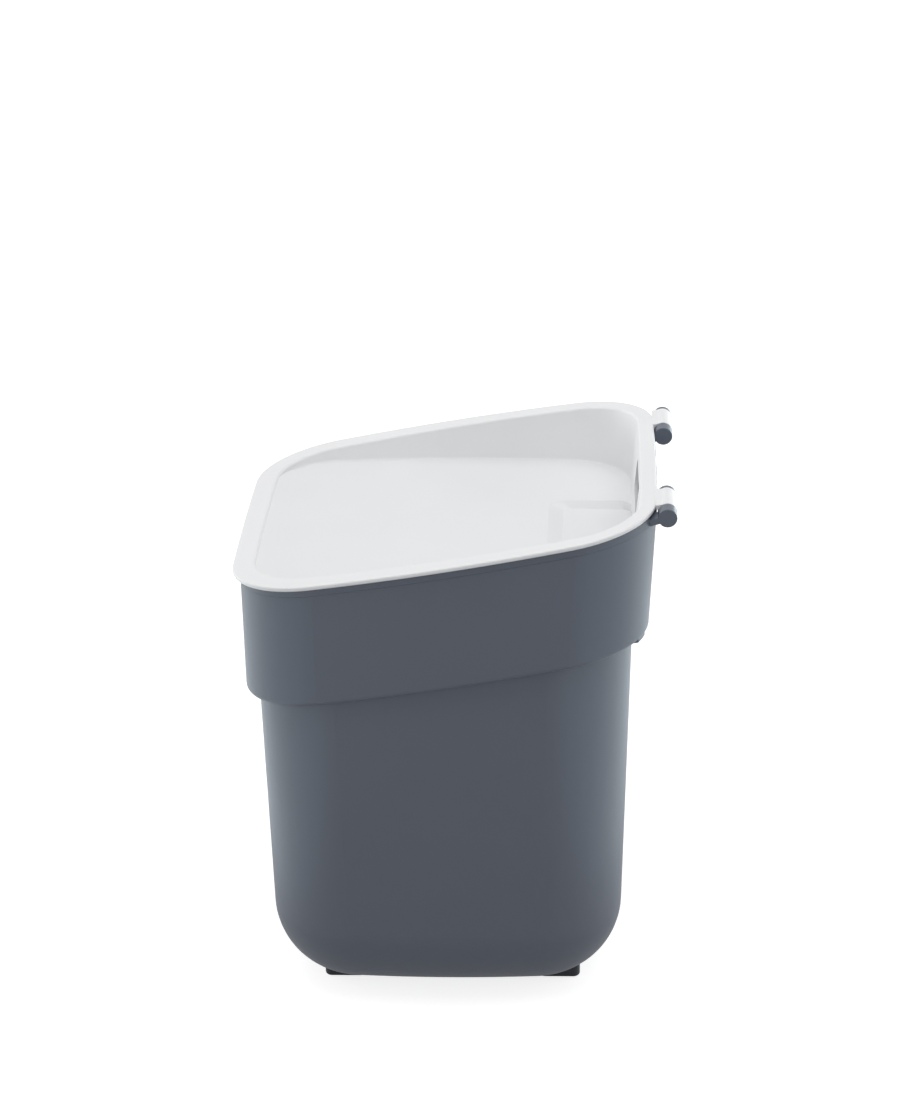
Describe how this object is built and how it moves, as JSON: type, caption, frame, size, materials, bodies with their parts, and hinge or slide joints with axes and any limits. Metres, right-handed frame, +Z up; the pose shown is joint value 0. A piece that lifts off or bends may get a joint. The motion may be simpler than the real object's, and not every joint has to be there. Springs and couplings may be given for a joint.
{
  "type": "recycling bin",
  "caption": "Free-standing kitchen recycling bin: stepped tub with a rounded base and sloping rim, bag ring, and a back-hinged lid with a level recessed tray.",
  "frame": {"origin": "on the floor under the middle of the whole object, hinge barrels included", "axes": "+Z up, -Y to the front where the rim is lowest, +Y to the hinges, X across the width"},
  "size_m": [0.234, 0.2416, 0.2968],
  "materials": {
    "tub": "satin slate grey moulding",
    "bag_ring": "satin slate grey moulding",
    "lid": "satin pale grey moulding",
    "hinge_pins": "satin slate grey moulding",
    "feet": "matt dark rubber"
  },
  "bodies": {
    "bin": {"tub": "tub", "bag_ring": "bag_ring", "hinge_pin_left": "hinge_pins", "hinge_pin_right": "hinge_pins", "foot_front_left": "feet", "foot_front_right": "feet", "foot_back_left": "feet", "foot_back_right": "feet"},
    "lid": {"lid": "lid"}
  },
  "joints": [
    {"name": "lid_swing", "type": "hinge", "parent": "bin", "child": "lid", "pos_m": [0, 0.11563, 0.29165], "axis": [-1, 0, 0], "range_deg": [0, 265]}
  ]
}
